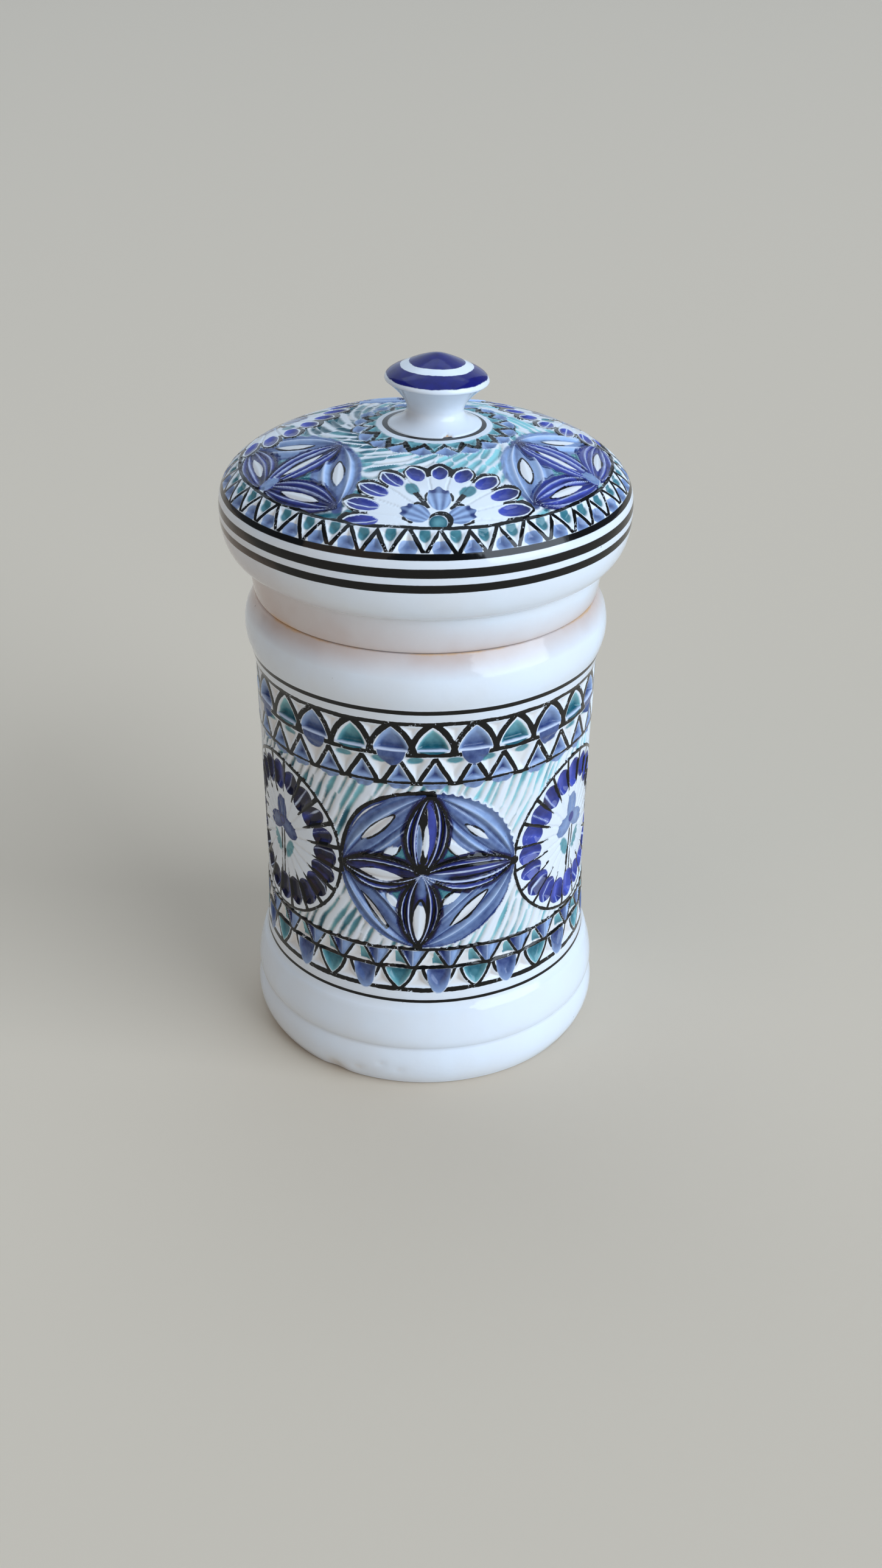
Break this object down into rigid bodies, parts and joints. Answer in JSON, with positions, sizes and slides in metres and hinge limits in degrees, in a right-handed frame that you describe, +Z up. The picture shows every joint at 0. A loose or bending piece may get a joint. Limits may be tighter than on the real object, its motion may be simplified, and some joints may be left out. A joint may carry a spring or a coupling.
{
  "type": "lidded ceramic jar",
  "caption": "Straight-sided glazed ceramic jar on a beaded foot, with carved and painted bands, and a domed lift-off lid with a mushroom knob.",
  "frame": {"origin": "middle of the foot, on the surface the jar stands on", "axes": "+Z up along the jar's axis, -Y towards the front rosette"},
  "size_m": [0.1378, 0.1378, 0.2471],
  "materials": {
    "jar_glaze": "gloss tin-white glaze over carved relief, painted in cobalt, mid blue, turquoise and black",
    "lid_glaze": "gloss tin-white glaze over carved relief, painted in cobalt, mid blue, turquoise and black",
    "knob_glaze": "gloss tin-white glaze with cobalt cap"
  },
  "bodies": {
    "jar": {"jar_body": "jar_glaze"},
    "cover": {"lid": "lid_glaze", "lid_knob": "knob_glaze"}
  },
  "joints": [
    {"name": "lid_lift", "type": "slide", "parent": "jar", "child": "cover", "axis": [0, 0, 1], "range_m": [0, 0.09]}
  ]
}
